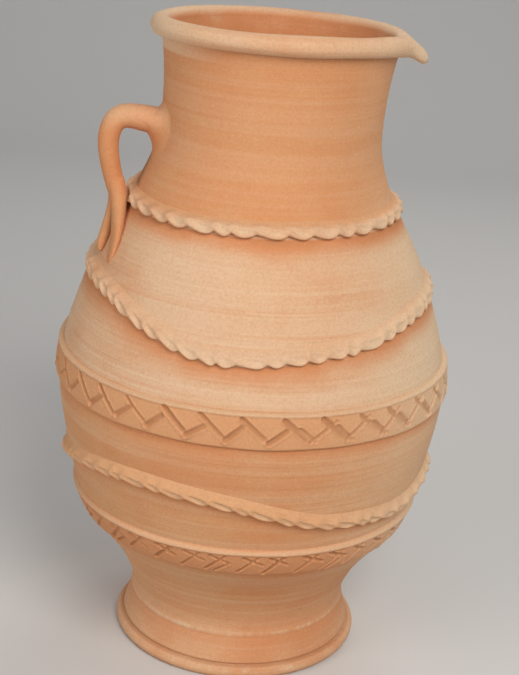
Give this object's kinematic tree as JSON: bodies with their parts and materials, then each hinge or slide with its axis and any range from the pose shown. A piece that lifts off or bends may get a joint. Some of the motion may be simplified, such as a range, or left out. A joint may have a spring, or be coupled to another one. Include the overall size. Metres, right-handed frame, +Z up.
{
  "type": "garden jug",
  "caption": "Large fired-clay garden jug with a pedestal foot, banded belly, wide neck, rolled rim, pouring lip and looped side handle; stands free.",
  "frame": {"origin": "centre of the foot's resting ring, on the surface the jug stands on", "axes": "+Z up along the jug's axis, +X the way the jug pours, -Y its front; the handle is on the -X side"},
  "size_m": [0.496, 0.496, 0.8056],
  "materials": {
    "body_clay": "unglazed fired clay, wiped smooth, matt",
    "pale_clay": "unglazed fired clay with a pale bloom, matt",
    "cord_clay": "unglazed fired clay, thumbed and tooled, matt",
    "handle_clay": "unglazed fired clay, wiped along its length, matt",
    "foot_clay": "unglazed fired clay, worn paler at the edge, matt",
    "bare_clay": "unglazed fired clay, as thrown, rough"
  },
  "bodies": {
    "root": {"pedestal_foot": "foot_clay", "floor_slab": "bare_clay", "lower_bowl": "body_clay", "belly_drum": "body_clay", "shoulder_drum": "pale_clay", "neck": "body_clay", "rim_roll": "pale_clay", "pouring_lip": "pale_clay", "handle": "handle_clay", "handle_root_wad": "handle_clay", "neck_cord": "cord_clay", "upper_swag_front": "cord_clay", "upper_swag_back": "cord_clay", "middle_band": "cord_clay", "lower_swag_front": "cord_clay", "lower_swag_back": "cord_clay", "lower_band": "cord_clay"}
  },
  "joints": []
}
